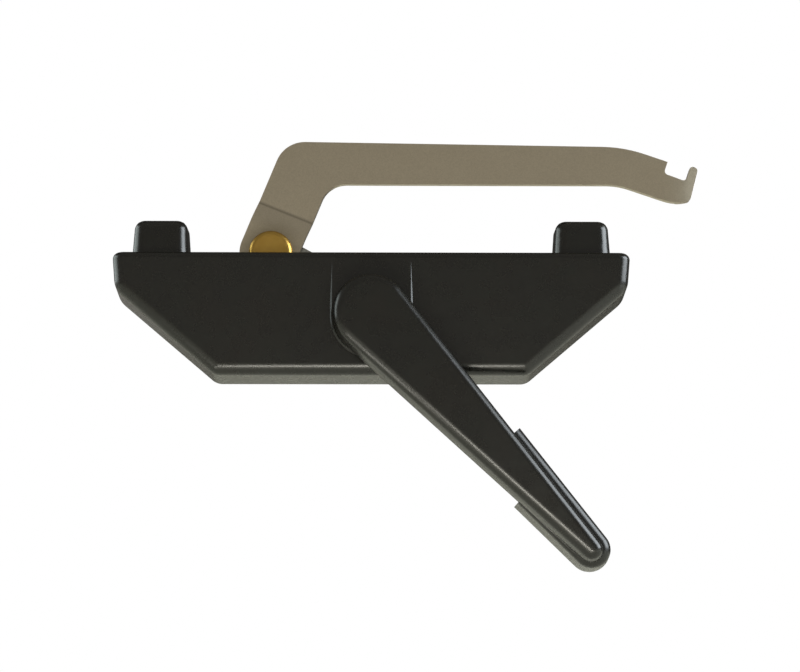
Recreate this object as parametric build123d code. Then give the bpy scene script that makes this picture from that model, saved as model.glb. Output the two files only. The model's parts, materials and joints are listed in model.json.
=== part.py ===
from build123d import *
import math
import os

# Multipoint window lock. Millimetres and degrees.
# X runs along the mounting rim, Y from the handle side to the back, and Z up out of the rim.
# The origin is the middle of the mounting rim.

# Housing: a die-cast cup, open along the rim
housing_length = 127.0  # along the rim, on the handle side
housing_depth = 18.0  # across the rim
housing_height = 30.0
end_height = 9.0  # from the rim down to where the slopes begin
end_inset = 0.75  # how far each end leans in over that height
floor_length = 76.4  # between the slopes, on the handle side
end_corner_radius = 5.0  # between each end and its slope
floor_corner_radius = 3.2  # between each slope and the floor
wall = 2.2
side_draft = 2.5  # the outline widens towards the back
face_draft = 2.5  # front and back lean together towards the floor
front_edge_radius = 3.0
back_edge_chamfer = 0.8  # all round the back
rim_edge_radius = 1.6
cavity_length = 88.4
cavity_corner_radius = 1.5

# Ears: screw bosses that stand on the rim
ear_spacing = 104.0
ear_width = 14.0
ear_depth = 12.4
ear_height = 8.6
ear_draft = 4.0
ear_corner_radius = 3.2
ear_top_chamfer = 1.3
screw_hole_radius = 2.1
screw_hole_depth = 14.0

# Spindle axis, bearings and the flat pad that the hub turns on
hub_drop = 16.1  # from the rim down to the spindle axis
pad_radius = 10.1
pad_setback = 0.1  # behind the front edge of the rim
pad_edge_chamfer = 0.45
spindle_radius = 4.5
spindle_flat = 3.2  # from the axis to each driving flat
spindle_grip = 6.9  # length held in the handle's hub
journal_radius = 3.1
bush_wall = 1.5
running_fit = 0.05
washer_fit = 0.12
front_arch_radius = 9.0
rear_arch_radius = 6.8
rear_bore_floor = 1.5  # metal left behind the blind bore

# Washers and the clip on the spindle
friction_washer_thickness = 0.6
friction_washer_radius = 8.4
thrust_washer_thickness = 0.8
thrust_washer_radius = 8.4
face_gap = 0.05  # between flat faces that turn on each other
clip_thickness = 0.8
clip_radius = 5.6
clip_band = 1.5
clip_prong_width = 2.2
clip_mouth = 4.2
groove_depth = 0.7
clip_to_arch = 0.4

# Crank and its stops
crank_length = 29.9
crank_angle = 146.2  # at rest, counterclockwise from +X as seen from the handle side
handle_turn = 126.0  # from rest to closed, clockwise as seen from the handle side
crank_thickness = 2.5
crank_hub_radius = 8.2
crank_pin_radius = 5.4
stop_distance = 18.0  # from the spindle axis, along the crank
stop_width = 3.2
stop_gap = 0.3

# Link arm: a stamped strip with a joggled foot and a notched end
link_thickness = 1.9
strip_rise = 17.85  # from the pivot up to the strip's lower edge
strip_width_leg = 10.8
strip_width_hook = 9.6
strip_length = 86.2  # from the pivot to the bend before the hook
leg_lean = 22.0  # from upright
leg_left = 7.8  # from the pivot to each edge of the leg
leg_right = 6.5
joggle_gap = 1.8  # from the pivot washer's rim to the first bend's middle, along the leg
joggle_length = 4.3
joggle_depth = 1.8  # from the foot's plane back to the strip's
joggle_soft_radius = 7.0  # inside the bend beside the foot
joggle_crease_radius = 0.5  # inside the bend beside the strip
shoulder_radius = 7.5
crotch_radius = 6.5
hook_slope = 19.0
hook_top_radius = 34.0
hook_bottom_radius = 18.0
notch_start = 9.9  # from the bend, along the hook
notch_width = 5.8
notch_depth = 3.1
notch_corner_radius = 1.0
finger_width = 2.0
finger_rise = 1.2
finger_corner_radius = 0.9
nose_overhang = 0.6  # past the finger's edge
nose_length = 3.2
nose_rise = 2.2
nose_radius = 1.5
tip_bend_place = 14.1  # from the bend along X, where the end of the hook turns back
tip_bend_angle = 12.0

# Pivot rivet and its washers
rivet_radius = 2.5
rivet_head_radius = 5.4
rivet_head_height = 2.0
rivet_head_chamfer = 0.8
rivet_closed_radius = 4.0
rivet_closed_height = 1.2
pivot_washer_thickness = 0.5
pivot_washer_radius = 5.4
rivet_washer_thickness = 0.7
rivet_washer_radius = 4.8

# Handle: a lever cast with its hub and grip, cored out from behind
lever_angle = 47.35  # at rest, below +X as seen from the handle side
lever_length = 82.5  # from the spindle axis to the tip
blade_thickness = 8.8
blade_draft = 6.0
hub_radius = 9.6
blade_end_radius = 2.9
blade_edge_radius = 2.0
grip_tip_radius = 5.0
grip_taper = 3.85  # each side
grip_shift = 0.3  # to the right of the lever's middle line
grip_lean = 0.9  # of the grip's own middle line, wider to the right at its root
grip_start_right = 44.6  # from the spindle axis, where each wing of the grip begins
grip_start_left = 57.4
grip_root_right = 5.6  # from the lever's middle line, where the slanted root begins and ends
grip_root_left = 4.2
wing_drop = 4.9  # from the blade's face down to the wings
skirt_depth = 9.2  # from the wings to the grip's back edge
grip_draft = 4.0
wing_edge_radius = 2.3
handle_wall = 2.2
core_start = 15.0  # from the spindle axis
core_inset = 3.4  # in from the hub's outside
core_end_radius = 1.05

# Levels along Y that several pieces share
front_y = -housing_depth / 2
back_y = housing_depth / 2
pad_y = front_y + pad_setback
friction_front_y = pad_y - face_gap - friction_washer_thickness
hub_back_y = friction_front_y - face_gap
hub_front_y = hub_back_y - blade_thickness
crank_front_y = -crank_thickness / 2
crank_back_y = crank_thickness / 2
thrust_front_y = crank_front_y - face_gap - thrust_washer_thickness
front_arch_y = thrust_front_y - face_gap
clip_front_y = crank_back_y + face_gap
clip_back_y = clip_front_y + clip_thickness
rear_arch_y = clip_back_y + clip_to_arch
foot_back_y = crank_front_y - pivot_washer_thickness - 2 * face_gap
foot_front_y = foot_back_y - link_thickness
strip_front_y = foot_front_y + joggle_depth
rivet_head_y = foot_front_y - face_gap
rivet_washer_y = crank_back_y + face_gap
rivet_closed_y = rivet_washer_y + rivet_washer_thickness
wing_y = hub_front_y + wing_drop
skirt_back_y = wing_y + skirt_depth

# Places in the XZ plane that several pieces share
hub_z = -hub_drop
joggle_start = pivot_washer_radius + joggle_gap
joggle_end = joggle_start + joggle_length
pivot_x = crank_length * math.cos(math.radians(crank_angle))
pivot_z = hub_z + crank_length * math.sin(math.radians(crank_angle))
face_lean = math.tan(math.radians(face_draft))
bore_radius = spindle_radius + running_fit + bush_wall
rear_bore_radius = journal_radius + running_fit + bush_wall
rear_bore_end_y = back_y - hub_drop * face_lean - rear_bore_floor
reach = 4 * housing_length  # longer than any piece, for cutting

at_hub = Pos(0, 0, hub_z)
at_pivot = Pos(pivot_x, 0, pivot_z)


def slab(profile, y_front, y_back):
    """A profile drawn in X and Z, as a solid from y_front to y_back."""
    return extrude(Plane.XZ.offset(-y_back) * profile, y_back - y_front)


def drafted_slab(profile, profile_y, other_y, angle):
    """A slab whose sides lean by an angle, and which has its drawn size at profile_y."""
    block = slab(profile, min(profile_y, other_y), max(profile_y, other_y))
    sides = block.faces().filter_by(lambda f: abs(f.normal_at().Y) < 0.5)
    return draft(sides, Plane.XZ.offset(-profile_y), angle)


def disc(radius, y_front, y_back):
    """A round solid along Y, centred on the Y axis."""
    return slab(Circle(radius), y_front, y_back)


def outline(*points):
    """A face from the corners of a closed outline."""
    return make_face(Polyline(*points, close=True))


def rounded(face, corner, radius):
    """The face with its corner nearest to a point rounded."""
    vertex = face.vertices().sort_by_distance(Vector(corner[0], corner[1]))[0]
    return fillet(vertex, radius)


def two_circle_outline(length, radius_start, radius_end):
    """Two circles a length apart on X, joined by their common tangents."""
    lean = math.asin((radius_start - radius_end) / length)
    normal = Vector(math.sin(lean), math.cos(lean))
    mirrored = Vector(normal.X, -normal.Y)
    far = Vector(length, 0)
    upper = Line(normal * radius_start, far + normal * radius_end)
    nose = ThreePointArc(upper @ 1, far + Vector(radius_end, 0), far + mirrored * radius_end)
    lower = Line(nose @ 1, mirrored * radius_start)
    heel = ThreePointArc(lower @ 1, Vector(-radius_start, 0), upper @ 0)
    return make_face([upper, nose, lower, heel])


def double_d(radius, flat):
    """A circle with two flats at the same distance from its middle."""
    return Circle(radius) & Rectangle(2 * radius, 2 * flat)


def housing_side_profile(half_depth, height):
    """The housing's section across the rim, in Y and Z, which narrows towards the floor."""
    lean = height * face_lean
    return Plane.YZ * outline(
        (-half_depth, 0), (half_depth, 0), (half_depth - lean, -height), (lean - half_depth, -height)
    )


def slope_direction():
    """The unit vector down the right-hand slope, and its normal into the housing."""
    run = Vector(floor_length / 2 - housing_length / 2 + end_inset, end_height - housing_height)
    along = run.normalized()
    return along, Vector(along.Y, -along.X)


def housing_shell():
    """The outside of the cup: the boat-shaped outline, cut to its leaning front and back."""
    half = housing_length / 2
    above = housing_height
    lean_above = end_inset * above / end_height
    spread = housing_depth * math.tan(math.radians(side_draft))
    right = [
        (half + lean_above, above),
        (half - end_inset, -end_height),
        (floor_length / 2, -housing_height),
    ]
    left = [(-x, z) for x, z in reversed(right)]
    front = outline(*right, *left)
    for side in (-1, 1):
        front = rounded(front, (side * right[1][0], right[1][1]), end_corner_radius)
        front = rounded(front, (side * right[2][0], right[2][1]), floor_corner_radius)
    body = drafted_slab(front, front_y, back_y, side_draft)
    section = housing_side_profile(housing_depth / 2, housing_height + spread)
    body &= extrude(section, reach / 2, both=True)
    front_edges = body.faces().sort_by(Axis.Y)[0].edges()
    body = fillet(front_edges.filter_by(lambda e: e.center().Z < -wall / 2), front_edge_radius)
    body += hub_pad()
    rim_edges = body.faces().sort_by(Axis.Z)[-1].edges()
    body = fillet(rim_edges.filter_by(lambda e: e.center().Y < back_y / 2), rim_edge_radius)
    return chamfer(body.faces().sort_by(Axis.Y)[-1].edges(), back_edge_chamfer)


def ear(side):
    """One screw boss, with drafted sides, round upright edges and a chamfered top."""
    base = RectangleRounded(ear_width, ear_depth, ear_corner_radius)
    boss = extrude(base, ear_height)
    boss = draft(boss.faces().filter_by(lambda f: abs(f.normal_at().Z) < 0.5), Plane.XY, ear_draft)
    boss = chamfer(boss.faces().sort_by(Axis.Z)[-1].edges(), ear_top_chamfer)
    return Pos(side * ear_spacing / 2, 0, 0) * boss


def screw_hole(side):
    """The blind hole down through one ear."""
    hole = Cylinder(screw_hole_radius, screw_hole_depth, align=(Align.CENTER, Align.CENTER, Align.MAX))
    return Pos(side * ear_spacing / 2, 0, ear_height) * hole


def cavity():
    """The inside of the cup, one wall in from the outside and stopped short of the ears."""
    half = cavity_length / 2
    floor = wall - housing_height
    along, inward = slope_direction()
    foot = Vector(floor_length / 2, -housing_height) + inward * wall
    slope = along.Y / along.X
    corner_z = foot.Y + (half - foot.X) * slope
    floor_x = foot.X + (floor - foot.Y) / slope
    face = outline(
        (half, wall), (half, corner_z), (floor_x, floor), (-floor_x, floor), (-half, corner_z), (-half, wall)
    )
    prism = slab(face, front_y, back_y)
    corners = prism.edges().filter_by(Axis.Y).filter_by(lambda e: e.center().Z < 0)
    prism = fillet(corners, cavity_corner_radius)
    section = housing_side_profile(housing_depth / 2 - wall, housing_height)
    return prism & extrude(section, reach / 2, both=True)


def arch(radius, y_front, y_back):
    """A bearing pad inside the cup: round over the spindle, and straight down to the floor."""
    leg = Pos(0, -hub_drop / 2) * Rectangle(2 * radius, hub_drop)
    inside = Pos(0, 0, -housing_height + wall / 2) * Box(
        cavity_length, housing_depth - wall, housing_height, align=(Align.CENTER, Align.CENTER, Align.MIN)
    )
    return at_hub * slab(Circle(radius) + leg, y_front, y_back) & inside


def hub_pad():
    """The flat seat under the hub, square to the spindle, that stands out of the leaning front."""
    face = Circle(pad_radius) + Pos(0, hub_drop / 2) * Rectangle(2 * pad_radius, hub_drop)
    pad = at_hub * slab(face, pad_y, pad_y + wall)
    front = pad.faces().sort_by(Axis.Y)[0]
    below_rim = front.edges().filter_by(lambda e: e.center().Z < -wall / 2)
    return chamfer(below_rim, pad_edge_chamfer)


def crank_stop(turn):
    """A post on the cup's floor and back, under the crank's lower edge at one end of its travel."""
    angle = math.radians(crank_angle - turn)
    along = Vector(math.cos(angle), math.sin(angle))
    down = Vector(along.Y, -along.X) if along.X > 0 else Vector(-along.Y, along.X)
    lean = math.asin((crank_hub_radius - crank_pin_radius) / crank_length)
    edge_half_width = (crank_hub_radius - stop_distance * math.sin(lean)) / math.cos(lean)
    edge_along = along * math.cos(lean) - down * math.sin(lean)
    edge_down = down * math.cos(lean) + along * math.sin(lean)
    middle = Vector(0, hub_z) + along * stop_distance + down * edge_half_width + edge_down * stop_gap
    half = edge_along * (stop_width / 2 / abs(edge_along.X))
    near = middle - half
    far = middle + half
    floor = wall / 2 - housing_height
    face = outline((near.X, near.Y), (far.X, far.Y), (far.X, floor), (near.X, floor))
    return slab(face, crank_front_y, back_y - wall / 2 - housing_height * face_lean)


def make_housing():
    body = housing_shell()
    for side in (-1, 1):
        body += ear(side)
    body -= cavity()
    body += arch(front_arch_radius, front_y + wall / 2 + housing_height * face_lean, front_arch_y)
    body += arch(rear_arch_radius, rear_arch_y, back_y - wall / 2 - housing_height * face_lean)
    for turn in (0, handle_turn):
        body += crank_stop(turn)
    for side in (-1, 1):
        body -= screw_hole(side)
    body -= at_hub * disc(bore_radius, front_y - wall, front_arch_y)
    body -= at_hub * disc(rear_bore_radius, rear_arch_y, rear_bore_end_y)
    return body


def make_front_bush():
    """A sleeve, flush with the pad at one end and with the bearing arch at the other."""
    sleeve = disc(bore_radius, pad_y, front_arch_y)
    return at_hub * (sleeve - disc(spindle_radius + running_fit, pad_y, front_arch_y))


def make_rear_bush():
    sleeve = disc(rear_bore_radius, rear_arch_y, rear_bore_end_y)
    return at_hub * (sleeve - disc(journal_radius + running_fit, rear_arch_y, rear_bore_end_y))


def flats(y_front, y_back, angle):
    """The spindle's driving section, turned about the axis by an angle."""
    return Rot(0, angle, 0) * slab(double_d(spindle_radius, spindle_flat), y_front, y_back)


def make_spindle():
    shaft = flats(hub_back_y - spindle_grip, hub_back_y, lever_angle)
    shaft += disc(spindle_radius, hub_back_y, crank_front_y)
    shaft += flats(crank_front_y, crank_back_y, -crank_angle)
    journal_end_y = rear_bore_end_y - face_gap
    shaft += disc(journal_radius, crank_back_y, journal_end_y)
    groove_floor = journal_radius - groove_depth
    groove = disc(journal_radius, clip_front_y, clip_back_y) - disc(groove_floor, clip_front_y, clip_back_y)
    return at_hub * (shaft - groove)


def flat_washer(inner, outer, y_front, thickness):
    return disc(outer, y_front, y_front + thickness) - disc(inner, y_front, y_front + thickness)


def make_friction_washer():
    inner = spindle_radius + washer_fit
    return at_hub * flat_washer(inner, friction_washer_radius, friction_front_y, friction_washer_thickness)


def make_thrust_washer():
    inner = spindle_radius + washer_fit
    return at_hub * flat_washer(inner, thrust_washer_radius, thrust_front_y, thrust_washer_thickness)


def make_retaining_ring():
    """An E clip: an open band with three prongs that reach into the spindle's groove."""
    band = Circle(clip_radius) - Circle(clip_radius - clip_band)
    prong = Pos(clip_radius - clip_band / 2, 0) * Rectangle(
        clip_radius, clip_prong_width, align=(Align.MAX, Align.CENTER)
    )
    for angle in (90, 180, 270):
        band += Rot(0, 0, angle) * prong
    mouth = Rectangle(clip_radius, clip_mouth, align=(Align.MIN, Align.CENTER))
    ring = band - Circle(journal_radius - groove_depth + running_fit) - mouth
    return at_hub * slab(ring, clip_front_y, clip_back_y)


def make_crank():
    plate = two_circle_outline(crank_length, crank_hub_radius, crank_pin_radius)
    plate -= double_d(spindle_radius, spindle_flat)
    plate -= Pos(crank_length, 0) * Circle(rivet_radius + running_fit)
    return at_hub * Rot(0, -crank_angle, 0) * slab(plate, crank_front_y, crank_back_y)


def hook_point(along, up):
    """A point of the sloping hook, from the bend along the hook and up across it."""
    slope = math.radians(hook_slope)
    x = strip_length + along * math.cos(slope) + up * math.sin(slope)
    z = strip_rise - along * math.sin(slope) + up * math.cos(slope)
    return (x, z)


def link_outline():
    """The arm seen from the handle side, about its pivot: foot, leg, strip and notched hook."""
    lean = math.radians(leg_lean)
    up = Vector(math.sin(lean), math.cos(lean))
    right = Vector(math.cos(lean), -math.sin(lean))
    foot_middle = right * ((leg_right - leg_left) / 2)
    foot_radius = (leg_right + leg_left) / 2
    shoulder_z = strip_rise + strip_width_leg
    left_foot = right * -leg_left
    right_foot = right * leg_right
    shoulder = left_foot + up * ((shoulder_z - left_foot.Y) / up.Y)
    crotch = right_foot + up * ((strip_rise - right_foot.Y) / up.Y)
    finger_start = notch_start + notch_width
    hook_end = finger_start + finger_width
    finger_top = strip_width_hook + finger_rise
    notch_floor = strip_width_hook - notch_depth
    top_bend = hook_point(-strip_width_hook * math.tan(math.radians(hook_slope / 2)), strip_width_hook)
    bottom_bend = hook_point(0, 0)
    notch_left = hook_point(notch_start, notch_floor)
    notch_right = hook_point(finger_start, notch_floor)
    finger_left = hook_point(finger_start, finger_top)
    finger_right = hook_point(hook_end, finger_top)
    nose_end = hook_end + nose_overhang
    nose_top = hook_point(nose_end, nose_rise)
    nose_bottom = hook_point(nose_end - nose_length, 0)
    face = outline(
        (left_foot.X, left_foot.Y),
        (shoulder.X, shoulder.Y),
        top_bend,
        hook_point(notch_start, strip_width_hook),
        notch_left,
        notch_right,
        finger_left,
        finger_right,
        nose_top,
        nose_bottom,
        bottom_bend,
        (crotch.X, crotch.Y),
        (right_foot.X, right_foot.Y),
    )
    corners = [
        ((shoulder.X, shoulder.Y), shoulder_radius),
        (top_bend, hook_top_radius),
        (notch_left, notch_corner_radius),
        (notch_right, notch_corner_radius),
        (finger_left, finger_corner_radius),
        (finger_right, finger_corner_radius),
        (nose_top, nose_radius),
        (nose_bottom, nose_radius),
        (bottom_bend, hook_bottom_radius),
        ((crotch.X, crotch.Y), crotch_radius),
    ]
    for corner, radius in corners:
        face = rounded(face, corner, radius)
    return face + Pos(foot_middle.X, foot_middle.Y) * Circle(foot_radius)


def bent_sheet(stations, thickness, first_radius, second_radius):
    """A sheet's section from its front face's corners, with the bends rounded on both sides."""
    (x0, y0), (x1, y1), (x2, y2), (x3, y3) = stations
    turn = math.atan2(y2 - y1, x2 - x1)
    shift = thickness * math.tan(turn / 2)
    back = [
        (x3, y3 + thickness),
        (x2 - shift, y2 + thickness),
        (x1 - shift, y1 + thickness),
        (x0, y0 + thickness),
    ]
    face = outline(*stations, *back)
    bends = [
        (stations[1], first_radius + thickness),
        (stations[2], second_radius),
        (back[1], second_radius + thickness),
        (back[2], first_radius),
    ]
    for corner, size in bends:
        face = rounded(face, corner, size)
    return face


def make_link_arm():
    plan = slab(link_outline(), -housing_depth, housing_depth)
    lean = math.radians(leg_lean)
    along_leg = (math.sin(lean), 0, math.cos(lean))
    across_leg = (-math.cos(lean), 0, math.sin(lean))
    foot_section = bent_sheet(
        [
            (-reach, foot_front_y),
            (joggle_start, foot_front_y),
            (joggle_end, strip_front_y),
            (reach, strip_front_y),
        ],
        link_thickness,
        joggle_soft_radius,
        joggle_crease_radius,
    )
    leg_plane = Plane(origin=(0, 0, 0), x_dir=along_leg, z_dir=across_leg)
    leg_sheet = extrude(leg_plane * foot_section, reach, both=True)
    split_x = strip_length / 2
    bend_x = strip_length + tip_bend_place
    tip_y = strip_front_y + reach * math.tan(math.radians(tip_bend_angle))
    tip_turn = link_thickness * math.tan(math.radians(tip_bend_angle / 2))
    hook_section = Plane.XY * outline(
        (split_x, strip_front_y),
        (bend_x, strip_front_y),
        (bend_x + reach, tip_y),
        (bend_x + reach - tip_turn, tip_y + link_thickness),
        (bend_x - tip_turn, strip_front_y + link_thickness),
        (split_x, strip_front_y + link_thickness),
    )
    hook_sheet = extrude(hook_section, reach, both=True)
    left_half = Box(2 * reach, reach, reach, align=(Align.MAX, Align.CENTER, Align.CENTER))
    leg = plan & leg_sheet & (Pos(split_x, 0, 0) * left_half)
    arm = leg + (plan & hook_sheet)
    arm -= disc(rivet_radius + running_fit, foot_front_y - wall, foot_back_y + wall)
    return at_pivot * arm


def make_pivot_rivet():
    """Rivet with a chamfered head, a shank, and a flat end pressed out over its washer."""
    head = disc(rivet_head_radius, rivet_head_y - rivet_head_height, rivet_head_y)
    head = chamfer(head.faces().sort_by(Axis.Y)[0].edges(), rivet_head_chamfer)
    shank = disc(rivet_radius, rivet_head_y, rivet_closed_y)
    closed = disc(rivet_closed_radius, rivet_closed_y, rivet_closed_y + rivet_closed_height)
    return at_pivot * (head + shank + closed)


def make_pivot_washer():
    inner = rivet_radius + running_fit
    y_front = foot_back_y + face_gap
    return at_pivot * flat_washer(inner, pivot_washer_radius, y_front, pivot_washer_thickness)


def make_rivet_washer():
    inner = rivet_radius + running_fit
    return at_pivot * flat_washer(inner, rivet_washer_radius, rivet_washer_y, rivet_washer_thickness)


def blade():
    """The lever's upper form: a tapered bar, narrower at its face, with a round hub end."""
    length = lever_length - grip_tip_radius
    plan = two_circle_outline(length, hub_radius, blade_end_radius)
    bar = drafted_slab(plan, hub_back_y, hub_front_y, blade_draft)
    return fillet(bar.faces().sort_by(Axis.Y)[0].edges(), blade_edge_radius)


def grip_plan(inset):
    """The tapered plan that the grip is cut from, a distance in from its outside."""
    tip_x = lever_length - grip_tip_radius
    root_radius = grip_tip_radius + tip_x * math.sin(math.radians(grip_taper))
    plan = two_circle_outline(tip_x, root_radius - inset, grip_tip_radius - inset)
    return Pos(tip_x, grip_shift) * Rot(0, 0, -grip_lean) * Pos(-tip_x, 0) * plan


def before_grip(inset):
    """The plan of what lies before the grip's slanted root, which clears the closed housing."""
    right = grip_start_right + inset
    left = grip_start_left + inset
    return outline(
        (-reach, reach),
        (right, reach),
        (right, grip_root_right - inset),
        (left, -grip_root_left + inset),
        (left, -reach),
        (-reach, -reach),
    )


def grip():
    """The deep skirt around the lever's outer half, with soft wings."""
    skirt = drafted_slab(grip_plan(0), skirt_back_y, wing_y, grip_draft)
    skirt = fillet(skirt.faces().sort_by(Axis.Y)[0].edges(), wing_edge_radius)
    return skirt - slab(before_grip(0), hub_front_y, back_y)


def handle_core():
    """What is cored out of the handle from behind, beyond its solid hub."""
    length = lever_length - grip_tip_radius
    roof_y = hub_front_y + handle_wall
    channel = two_circle_outline(length, hub_radius - core_inset, core_end_radius)
    beyond_hub = Pos(core_start, 0) * Rectangle(reach, reach, align=(Align.MIN, Align.CENTER))
    core = slab(channel & beyond_hub, roof_y, hub_back_y)
    grip_core = slab(grip_plan(handle_wall), wing_y + handle_wall, skirt_back_y)
    return core + (grip_core - slab(before_grip(handle_wall), hub_front_y, back_y))


def make_handle():
    lever = blade() + grip() - handle_core()
    lever = at_hub * Rot(0, lever_angle, 0) * lever
    return lever - at_hub * flats(hub_back_y - spindle_grip, hub_back_y, lever_angle)


os.makedirs("parts", exist_ok=True)
nodes = {
    "housing": make_housing(),
    "front_bush": make_front_bush(),
    "rear_bush": make_rear_bush(),
    "spindle": make_spindle(),
    "friction_washer": make_friction_washer(),
    "thrust_washer": make_thrust_washer(),
    "retaining_ring": make_retaining_ring(),
    "crank": make_crank(),
    "link_arm": make_link_arm(),
    "pivot_rivet": make_pivot_rivet(),
    "pivot_washer": make_pivot_washer(),
    "rivet_washer": make_rivet_washer(),
    "handle": make_handle(),
}
for name, solid in nodes.items():
    export_step(solid, f"parts/{name}.step")
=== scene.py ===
import json
import math

import bmesh
import bpy
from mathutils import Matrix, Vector


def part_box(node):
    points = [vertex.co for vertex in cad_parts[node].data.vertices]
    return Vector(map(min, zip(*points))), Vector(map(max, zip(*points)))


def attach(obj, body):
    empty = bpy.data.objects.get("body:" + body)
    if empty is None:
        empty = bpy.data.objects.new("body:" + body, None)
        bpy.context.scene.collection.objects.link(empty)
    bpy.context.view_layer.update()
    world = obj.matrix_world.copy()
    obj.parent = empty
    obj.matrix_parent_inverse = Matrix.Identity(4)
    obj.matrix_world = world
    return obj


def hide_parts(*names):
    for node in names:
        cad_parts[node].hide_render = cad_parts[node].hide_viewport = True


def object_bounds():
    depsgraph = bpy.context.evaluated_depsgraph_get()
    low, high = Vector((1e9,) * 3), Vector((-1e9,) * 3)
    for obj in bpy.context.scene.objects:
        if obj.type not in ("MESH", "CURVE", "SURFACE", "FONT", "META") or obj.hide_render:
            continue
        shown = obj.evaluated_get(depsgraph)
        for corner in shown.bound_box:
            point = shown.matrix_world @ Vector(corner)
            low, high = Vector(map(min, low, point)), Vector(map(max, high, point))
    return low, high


# Looks of a multipoint window lock: finishes, softened forms, floor, light and camera. Metres and degrees.
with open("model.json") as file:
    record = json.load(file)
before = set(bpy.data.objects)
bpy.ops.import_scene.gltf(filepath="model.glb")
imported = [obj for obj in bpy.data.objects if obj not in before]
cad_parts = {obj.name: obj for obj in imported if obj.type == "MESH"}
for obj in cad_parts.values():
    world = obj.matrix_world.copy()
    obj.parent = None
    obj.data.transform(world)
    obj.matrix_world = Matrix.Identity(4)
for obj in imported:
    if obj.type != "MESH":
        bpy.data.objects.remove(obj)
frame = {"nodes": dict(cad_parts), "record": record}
cad_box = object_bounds()

# Camera, a little below the lock and looking up at it
camera_place = (0.000911, -0.55890, -0.10809)
camera_pitch = 9.0
camera_yaw = 0.63
camera_lens = 103.05  # millimetres
camera_sensor = 36.0  # millimetres

# Floor
floor_drop = 0.045  # below the lock's lowest point
floor_size = 6.0
floor_color = (0.66, 0.65, 0.57, 1)
floor_tint = (0.69, 0.68, 0.60, 1)
floor_clouds = {"size": 0.15}
floor_roughness = 0.85
floor_paleness = 0.65  # share of plain white that the camera sees in it

# Room: its levels, and the directions, as parts of a unit vector, between which one fades into the next
white = (1, 1, 1, 1)  # what the camera alone sees of it
room_color = (1.0, 0.96, 0.87, 1)
room_front_low = 0.52  # on the camera's side, near the floor
room_front_high = 0.30  # on the camera's side, higher up
room_front_rise = (0.02, 0.16)
room_back = 0.07  # behind the lock
room_back_left = 0.55  # behind it to the left, near the floor
room_back_left_rise = (0.02, 0.12)
room_back_left_edge = (-0.25, -0.15)
room_back_edge = (-0.2, 0.4)
room_right = 0.12  # to the right
room_right_edge = (0.30, 0.55)

# Lamps: name, place, aim, width, height, power in watts and colour
strip_color = (1.0, 0.96, 0.86)
lamps = [
    ("right_window", (0.61, -0.16, 0.21), (0, 0, 0), 0.50, 0.42, 6.2, (0.88, 0.95, 1.0)),
    ("left_card", (-0.55, 0.12, 0.15), (-0.02, 0, 0), 0.55, 0.36, 1.9, (0.88, 0.99, 0.97)),
    ("low_strip", (0, -0.15, -0.113), (0, -0.005, -0.027), 0.115, 0.02, 0.14, strip_color),
    ("low_left_strip", (-0.09, -0.09, -0.113), (0.02, -0.015, -0.04), 0.06, 0.012, 0.025, strip_color),
    ("floor_light", (0, -0.25, 0.80), (0, -0.20, 0), 0.80, 1.20, 7.0, (1.0, 0.97, 0.84)),
]
unreflected = ["floor_light"]  # lamps that no glossy surface shows

# Range in which most values of the noise in the finishes lie
noise_low = 0.35
noise_high = 0.65

# Dark bronze coat: its colours, the clouds that mix them, and how its gloss and relief vary
bronze_dark = (0.0032, 0.0030, 0.0024, 1)
bronze_brown = (0.0048, 0.0037, 0.0025, 1)
bronze_green = (0.0036, 0.0037, 0.0027, 1)
brown_clouds = {"size": 0.012}
green_clouds = {"size": 0.006, "detail": 4}
bronze_gloss = {"size": 0.004, "low": 0.26, "high": 0.30}
bronze_relief = {"size": 0.0006, "detail": 2, "depth": 0.000002, "strength": 0.15}

# Stainless steel, with shade painted into its crease and round its pivot
stainless_dark = (0.54, 0.473, 0.357, 1)
stainless_light = (0.61, 0.537, 0.413, 1)
stainless_grain = {"size": 0.0003, "roughness": 0.6}
stainless_gloss = {"size": 0.004, "low": 0.28, "high": 0.30}
stainless_relief = {"size": 0.0003, "detail": 2, "stretch": (0.5, 1, 1), "depth": 0.000001, "strength": 0.1}
# Painted shade: a dark line coloured into the crease of the arm's joggle, where shade falls
crease_shade_color = (0.12, 0.10, 0.07, 1)
crease_shade_level = 0.45
crease_back = -0.00198  # the joggle's crease, from its back edge
crease_front = -0.00240  # to its front edge
# Painted shade: the arm is coloured darker round its pivot, near the rivet and the housing
pivot_shade_color = (0.20, 0.16, 0.09, 1)
pivot_shade_level = 0.65
pivot_shade_near = 0.0045  # from the pivot
pivot_shade_far = 0.0105

# Brass, zinc plate and plastic
brass_dark = (0.47, 0.285, 0.065, 1)
brass_light = (0.50, 0.31, 0.075, 1)
brass_clouds = {"size": 0.002}
brass_gloss = {"size": 0.001, "low": 0.34, "high": 0.40}
brass_relief = {"size": 0.0004, "depth": 0.000002, "strength": 0.2}
zinc_dark = (0.30, 0.30, 0.28, 1)
zinc_light = (0.38, 0.38, 0.36, 1)
zinc_mottle = {"size": 0.0015, "detail": 4}
zinc_gloss = {"size": 0.002, "low": 0.26, "high": 0.40}
zinc_relief = {"size": 0.0003, "depth": 0.000008, "strength": 0.3}
plastic_dark = (0.018, 0.018, 0.018, 1)
plastic_light = (0.030, 0.030, 0.031, 1)
plastic_clouds = {"size": 0.003}
plastic_gloss = {"size": 0.0015, "low": 0.42, "high": 0.55}
plastic_relief = {"size": 0.0003, "depth": 0.00001, "strength": 0.3}

# Rounding of edges
weld_distance = 0.000002
flat_turn = 0.5  # edges that turn by less lie in a flat face
crisp_turn = 30.0  # edges that turn by more are crisp
square_turn = 60.0  # edges that turn by more are left square
round_steps = 4
round_profile = 0.5  # a circular arc
ear_reach = 0.0016  # the ears' chamfers lie this near to their top
ear_round = 0.00088  # nearly half of a chamfer's width
rivet_reach = 0.0010  # the rivet's chamfer lies this near to its head's face
rivet_round = 0.00050

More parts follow.
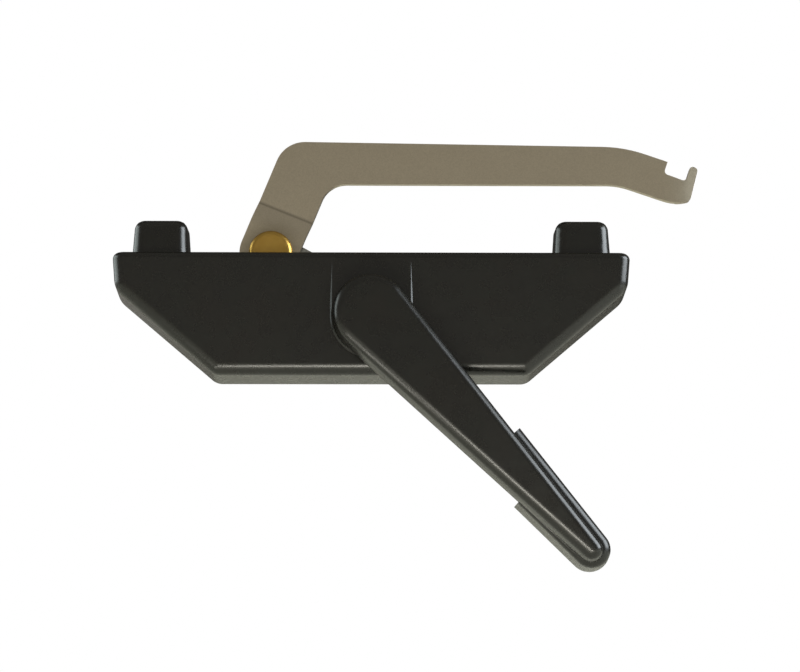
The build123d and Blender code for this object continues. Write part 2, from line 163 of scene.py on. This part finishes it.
# Bend at the end of the arm's hook
hook_bend = 0.07545  # its place along X
hook_turn = 12.0
hook_roll = 0.0035  # it is rolled this far to each side
hook_steps = 8
hook_lift = 0.00045  # its lower corner is rounded off by this much
hook_lower = 0.0136  # height of the corner
hook_middle = 0.0170  # height where the rounding ends

# Crown of the lever's side wall, which is straight in the CAD model
lever_angle = 47.35  # below +X
lever_reach = 0.0775  # from the hub's axis to that of the round end
lever_hub = 0.0096  # radius, at the back
lever_end = 0.0029  # radius, at the back
lever_draft = 6.0
lever_depth = 0.0088
lever_edge = 0.0018  # depth of the rounded edge before the wall
lever_edge_width = 0.0021  # the rounded edge lies this near to the line of the wall
lever_wall_near = 0.00005  # and the wall this near
crown_low = 0.0006  # height of the crown on the lower side
crown_high = 0.0002  # on the upper side
crown_steps = 8


def joint_place(name):
    """A point on the axis of a joint."""
    return next(joint["pos_m"] for joint in frame["record"]["behaviour"]["joints"] if joint["name"] == name)


def new_material(name):
    """A new node material, with its tree and its surface shader."""
    material = bpy.data.materials.new(name)
    material.use_nodes = True
    tree = material.node_tree
    return material, tree, tree.nodes["Principled BSDF"]


def axes_of(tree, space):
    """The X, Y and Z of a place on the piece, or of a direction in the room."""
    coordinates = tree.nodes.new("ShaderNodeTexCoord")
    axes = tree.nodes.new("ShaderNodeSeparateXYZ")
    tree.links.new(coordinates.outputs[space], axes.inputs["Vector"])
    return axes.outputs


def noise(tree, size, detail=3.0, roughness=0.55, stretch=(1, 1, 1)):
    """Soft random variation with features of about a size, longer where the stretch is below 1."""
    coordinates = tree.nodes.new("ShaderNodeTexCoord")
    mapping = tree.nodes.new("ShaderNodeMapping")
    mapping.inputs["Scale"].default_value = stretch
    tree.links.new(coordinates.outputs["Object"], mapping.inputs["Vector"])
    texture = tree.nodes.new("ShaderNodeTexNoise")
    texture.inputs["Scale"].default_value = 1 / size
    texture.inputs["Detail"].default_value = detail
    texture.inputs["Roughness"].default_value = roughness
    tree.links.new(mapping.outputs["Vector"], texture.inputs["Vector"])
    return texture.outputs["Fac"]


def spread(tree, value, low, high):
    """A noise value brought into a range."""
    node = tree.nodes.new("ShaderNodeMapRange")
    node.inputs["From Min"].default_value = noise_low
    node.inputs["From Max"].default_value = noise_high
    node.inputs["To Min"].default_value = low
    node.inputs["To Max"].default_value = high
    tree.links.new(value, node.inputs["Value"])
    return node.outputs["Result"]


def fade(tree, value, start, end, start_level, end_level):
    """A level that goes smoothly from one to another as a value does; each is a number or a socket."""
    node = tree.nodes.new("ShaderNodeMapRange")
    node.interpolation_type = "SMOOTHSTEP"
    node.inputs["From Min"].default_value = start
    node.inputs["From Max"].default_value = end
    for socket, level in ((node.inputs["To Min"], start_level), (node.inputs["To Max"], end_level)):
        if isinstance(level, float):
            socket.default_value = level
        else:
            tree.links.new(level, socket)
    tree.links.new(value, node.inputs["Value"])
    return node.outputs["Result"]


def mix_colors(tree, factor, first, second):
    """Two colours mixed by a factor; each is a fixed colour or a socket."""
    node = tree.nodes.new("ShaderNodeMix")
    node.data_type = "RGBA"
    tree.links.new(factor, node.inputs["Factor"])
    # Inputs 6 and 7 and output 2 are the node's colour sockets, whose names others share
    for socket, color in ((node.inputs[6], first), (node.inputs[7], second)):
        if isinstance(color, tuple):
            socket.default_value = color
        else:
            tree.links.new(color, socket)
    return node.outputs[2]


def mix_by_clouds(tree, clouds, first, second):
    """Two colours mixed by soft random clouds."""
    return mix_colors(tree, spread(tree, noise(tree, **clouds), 0, 1), first, second)


def mix_shaders(tree, factor, first, second):
    """Two shaders mixed by a factor."""
    node = tree.nodes.new("ShaderNodeMixShader")
    for socket, value in zip(node.inputs, (factor, first, second)):
        tree.links.new(value, socket)
    return node.outputs["Shader"]


def vary_gloss(tree, shader, size, low, high):
    """Roughness that varies over the surface."""
    tree.links.new(spread(tree, noise(tree, size), low, high), shader.inputs["Roughness"])


def add_relief(tree, shader, depth, strength, **grain):
    """Fine bumps on the surface."""
    node = tree.nodes.new("ShaderNodeBump")
    node.inputs["Distance"].default_value = depth
    node.inputs["Strength"].default_value = strength
    tree.links.new(noise(tree, **grain), node.inputs["Height"])
    tree.links.new(node.outputs["Normal"], shader.inputs["Normal"])


def bronze_coat():
    """Satin near-black bronze paint with faint brown and green clouds."""
    material, tree, shader = new_material("dark_bronze_coat")
    base = mix_by_clouds(tree, brown_clouds, bronze_dark, bronze_brown)
    tree.links.new(mix_by_clouds(tree, green_clouds, base, bronze_green), shader.inputs["Base Color"])
    vary_gloss(tree, shader, **bronze_gloss)
    add_relief(tree, shader, **bronze_relief)
    return material


def crease_shade_mask(tree):
    """Where shade is painted into the crease of the arm's joggle."""
    depth = axes_of(tree, "Object")["Y"]
    middle = (crease_front + crease_back) / 2
    front = fade(tree, depth, crease_front, middle, 0.0, crease_shade_level)
    return fade(tree, depth, middle, crease_back, front, 0.0)


def pivot_shade_mask(tree):
    """Where painted shade darkens the arm, round its pivot."""
    coordinates = tree.nodes.new("ShaderNodeTexCoord")
    distance = tree.nodes.new("ShaderNodeVectorMath")
    distance.operation = "DISTANCE"
    distance.inputs[1].default_value = joint_place("arm_swing")
    tree.links.new(coordinates.outputs["Object"], distance.inputs[0])
    return fade(tree, distance.outputs["Value"], pivot_shade_near, pivot_shade_far, pivot_shade_level, 0.0)


def stainless_strip():
    """Fine-grained stamped stainless steel, with shade painted into its crease and round its pivot."""
    material, tree, shader = new_material("stainless_strip")
    shader.inputs["Metallic"].default_value = 1.0
    steel = mix_by_clouds(tree, stainless_grain, stainless_dark, stainless_light)
    # Painted shade: the joggle's crease is coloured darker
    crease_shaded = mix_colors(tree, crease_shade_mask(tree), steel, crease_shade_color)
    # Painted shade: the arm is coloured darker round its pivot
    pivot_shaded = mix_colors(tree, pivot_shade_mask(tree), crease_shaded, pivot_shade_color)
    tree.links.new(pivot_shaded, shader.inputs["Base Color"])
    vary_gloss(tree, shader, **stainless_gloss)
    add_relief(tree, shader, **stainless_relief)
    return material


def turned_brass():
    """Dull turned brass."""
    material, tree, shader = new_material("turned_brass")
    shader.inputs["Metallic"].default_value = 1.0
    tree.links.new(mix_by_clouds(tree, brass_clouds, brass_dark, brass_light), shader.inputs["Base Color"])
    vary_gloss(tree, shader, **brass_gloss)
    add_relief(tree, shader, **brass_relief)
    return material


def zinc_plate():
    """Zinc-plated steel with a soft crystal mottle."""
    material, tree, shader = new_material("zinc_plate")
    shader.inputs["Metallic"].default_value = 1.0
    tree.links.new(mix_by_clouds(tree, zinc_mottle, zinc_dark, zinc_light), shader.inputs["Base Color"])
    vary_gloss(tree, shader, **zinc_gloss)
    add_relief(tree, shader, **zinc_relief)
    return material


def moulded_plastic():
    """Black moulded plastic with a fine texture."""
    material, tree, shader = new_material("moulded_plastic")
    color = mix_by_clouds(tree, plastic_clouds, plastic_dark, plastic_light)
    tree.links.new(color, shader.inputs["Base Color"])
    vary_gloss(tree, shader, **plastic_gloss)
    add_relief(tree, shader, **plastic_relief)
    return material


def dress_nodes():
    """Each CAD node gets the finish of its slot in the record."""
    finishes = {
        "dark_bronze": bronze_coat(),
        "stainless": stainless_strip(),
        "brass": turned_brass(),
        "plated_steel": zinc_plate(),
        "dark_plastic": moulded_plastic(),
    }
    for row in frame["record"]["subparts"]:
        node = frame["nodes"][row["node"]]
        node.data.materials.clear()
        node.data.materials.append(finishes[row["material_slot"]])


def turn_of(edge):
    """How far the surface turns at an edge, in degrees."""
    return math.degrees(edge.calc_face_angle(0))


def open_copy(name):
    """A working copy of a node's mesh, with its facets joined at their edges."""
    work = bmesh.new()
    work.from_mesh(frame["nodes"][name].data)
    bmesh.ops.remove_doubles(work, verts=work.verts, dist=weld_distance)
    return work


def edges_in(work, inside):
    """The edges that lie wholly inside a region."""
    return [edge for edge in work.edges if all(inside(vertex.co) for vertex in edge.verts)]


def round_chamfers(work, inside, offset):
    """Rounds the edges of the chamfers that lie inside a region."""
    flat = [edge for edge in edges_in(work, inside) if turn_of(edge) < flat_turn]
    bmesh.ops.dissolve_limit(work, angle_limit=math.radians(flat_turn), verts=[], edges=flat)
    picked = [edge for edge in edges_in(work, inside) if crisp_turn < turn_of(edge) < square_turn]
    bmesh.ops.bevel(work, geom=picked, offset=offset, offset_type="OFFSET", segments=round_steps,
                    profile=round_profile, affect="EDGES", clamp_overlap=False)


def slice_across(work, direction, places):
    """Cuts the faces of a working copy at places along a direction, so that they can be curved."""
    for place in places:
        everything = work.verts[:] + work.edges[:] + work.faces[:]
        bmesh.ops.bisect_plane(work, geom=everything, plane_co=direction * place, plane_no=direction)


def close_copy(work, name, node, body):
    """Makes the working copy a piece that stands for its node, with the node's finish."""
    bmesh.ops.triangulate(work, faces=work.faces)
    bmesh.ops.remove_doubles(work, verts=work.verts, dist=weld_distance)
    bmesh.ops.dissolve_degenerate(work, edges=work.edges, dist=weld_distance)
    bmesh.ops.triangulate(work, faces=work.faces)
    for face in work.faces:
        face.smooth = True
    for edge in work.edges:
        edge.smooth = turn_of(edge) < crisp_turn
    mesh = bpy.data.meshes.new(name)
    work.to_mesh(mesh)
    work.free()
    # The normals of the node's own facets don't fit the new faces
    mesh.attributes.remove(mesh.attributes["custom_normal"])
    mesh.materials.append(frame["nodes"][node].data.materials[0])
    piece = bpy.data.objects.new(name, mesh)
    bpy.context.scene.collection.objects.link(piece)
    shading = piece.modifiers.new("flat_faces", "WEIGHTED_NORMAL")
    shading.keep_sharp = True
    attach(piece, body)
    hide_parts(node)


def round_ears():
    """The cast housing, with the chamfers of its ears rounded."""
    work = open_copy("housing")
    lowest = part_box("housing")[1][2] - ear_reach
    round_chamfers(work, lambda place: place.z > lowest, ear_round)
    close_copy(work, "cast_housing", "housing", "housing")


def round_rivet():
    """The rivet, with the chamfer of its head rounded."""
    work = open_copy("pivot_rivet")
    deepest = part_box("pivot_rivet")[0][1] + rivet_reach
    round_chamfers(work, lambda place: place.y < deepest, rivet_round)
    close_copy(work, "headed_rivet", "pivot_rivet", "rivet")


def curve_hook():
    """The arm, with the bend at the end of its hook rolled, and the corner below it rounded."""
    work = open_copy("link_arm")
    cuts = [hook_bend + hook_roll * (2 * step / hook_steps - 1) for step in range(hook_steps + 1)]
    slice_across(work, Vector((1, 0, 0)), cuts)
    for vertex in work.verts:
        inside = max(0, hook_roll - abs(vertex.co.x - hook_bend))
        vertex.co.y += math.tan(math.radians(hook_turn)) * inside ** 2 / (4 * hook_roll)
        below = max(0, (hook_middle - vertex.co.z) / (hook_middle - hook_lower))
        vertex.co.z += hook_lift * below * (inside / hook_roll) ** 2
    close_copy(work, "hooked_arm", "link_arm", "arm")


def lever_outline(along, across):
    """Distance of a place from the lever's outline at its back, and the way out from there."""
    lean = math.asin((lever_hub - lever_end) / lever_reach)
    level = along * math.cos(lean) - abs(across) * math.sin(lean)
    if level < 0:
        out = Vector((along, across))
        return out.length - lever_hub, out.normalized()
    if level > lever_reach * math.cos(lean):
        out = Vector((along - lever_reach, across))
        return out.length - lever_end, out.normalized()
    out = Vector((math.sin(lean), math.copysign(math.cos(lean), across)))
    return out.dot(Vector((along, across))) - lever_hub, out


def crown_lever():
    """The lever, with its side wall and rounded edge a little crowned."""
    work = open_copy("handle")
    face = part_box("handle")[0][1]
    wall = face + lever_edge
    back = face + lever_depth
    hub = Vector(joint_place("handle_turn"))
    turn = math.radians(lever_angle)
    lengthwise = Vector((math.cos(turn), 0, -math.sin(turn)))
    crosswise = Vector((math.sin(turn), 0, math.cos(turn)))
    cuts = [wall + (lever_depth - lever_edge) * step / crown_steps for step in range(crown_steps)]
    slice_across(work, Vector((0, 1, 0)), cuts)
    for vertex in work.verts:
        place = vertex.co - hub
        gap, out = lever_outline(place.dot(lengthwise), place.dot(crosswise))
        gap += math.tan(math.radians(lever_draft)) * (back - vertex.co.y)
        near = lever_edge_width if vertex.co.y < wall else lever_wall_near
        if vertex.co.y < back and abs(gap) < near:
            level = 2 * (vertex.co.y - face) / lever_depth - 1
            crown = crown_low + (crown_high - crown_low) * (1 + out.y) / 2
            vertex.co += (lengthwise * out.x + crosswise * out.y) * crown * (1 - level ** 2)
    close_copy(work, "cast_handle", "handle", "handle")


def add_floor():
    """A plain pale floor below the lock, paler for the camera."""
    lowest = cad_box[0][2]
    bpy.ops.mesh.primitive_plane_add(size=floor_size, location=(0, 0, lowest - floor_drop))
    floor = bpy.context.object
    floor.name = "floor"
    material, tree, shader = new_material("pale_floor")
    tree.links.new(mix_by_clouds(tree, floor_clouds, floor_color, floor_tint), shader.inputs["Base Color"])
    shader.inputs["Roughness"].default_value = floor_roughness
    pale = tree.nodes.new("ShaderNodeEmission")
    pale.inputs["Color"].default_value = white
    path = tree.nodes.new("ShaderNodeLightPath")
    share = fade(tree, path.outputs["Is Camera Ray"], 0, 1, 0.0, floor_paleness)
    surface = mix_shaders(tree, share, shader.outputs["BSDF"], pale.outputs["Emission"])
    tree.links.new(surface, tree.nodes["Material Output"].inputs["Surface"])
    floor.data.materials.append(material)


def add_world():
    """White for the camera, and for the lock a room that is soft in front and low at the back left."""
    world = bpy.data.worlds.new("studio")
    bpy.context.scene.world = world
    world.use_nodes = True
    tree = world.node_tree
    tree.nodes.clear()
    axes = axes_of(tree, "Generated")
    front = fade(tree, axes["Z"], *room_front_rise, room_front_low, room_front_high)
    back_left = fade(tree, axes["Z"], *room_back_left_rise, room_back_left, room_back)
    back = fade(tree, axes["X"], *room_back_left_edge, back_left, room_back)
    around = fade(tree, axes["Y"], *room_back_edge, front, back)
    level = fade(tree, axes["X"], *room_right_edge, around, room_right)
    room = tree.nodes.new("ShaderNodeBackground")
    room.inputs["Color"].default_value = room_color
    tree.links.new(level, room.inputs["Strength"])
    seen = tree.nodes.new("ShaderNodeBackground")
    seen.inputs["Color"].default_value = white
    path = tree.nodes.new("ShaderNodeLightPath")
    surface = mix_shaders(
        tree, path.outputs["Is Camera Ray"], room.outputs["Background"], seen.outputs["Background"]
    )
    output = tree.nodes.new("ShaderNodeOutputWorld")
    tree.links.new(surface, output.inputs["Surface"])


def add_lamp(name, place, aim, width, height, power, color):
    """A soft rectangular lamp that looks at a point."""
    light = bpy.data.lights.new(name, "AREA")
    light.shape = "RECTANGLE"
    light.size = width
    light.size_y = height
    light.energy = power
    light.color = color
    lamp = bpy.data.objects.new(name, light)
    lamp.location = place
    lamp.rotation_euler = (Vector(aim) - Vector(place)).to_track_quat("-Z", "Y").to_euler()
    lamp.visible_camera = False
    lamp.visible_glossy = name not in unreflected
    bpy.context.scene.collection.objects.link(lamp)


def add_camera():
    """The camera at the photograph's viewing angle."""
    data = bpy.data.cameras.new("camera")
    data.lens = camera_lens
    data.sensor_width = camera_sensor
    camera = bpy.data.objects.new("camera", data)
    camera.location = camera_place
    camera.rotation_euler = (math.radians(90 + camera_pitch), 0, math.radians(-camera_yaw))
    bpy.context.scene.collection.objects.link(camera)
    bpy.context.scene.camera = camera


bpy.context.scene.view_settings.view_transform = "Standard"
dress_nodes()
round_ears()
round_rivet()
curve_hook()
crown_lever()
add_floor()
add_world()
for lamp_values in lamps:
    add_lamp(*lamp_values)
add_camera()
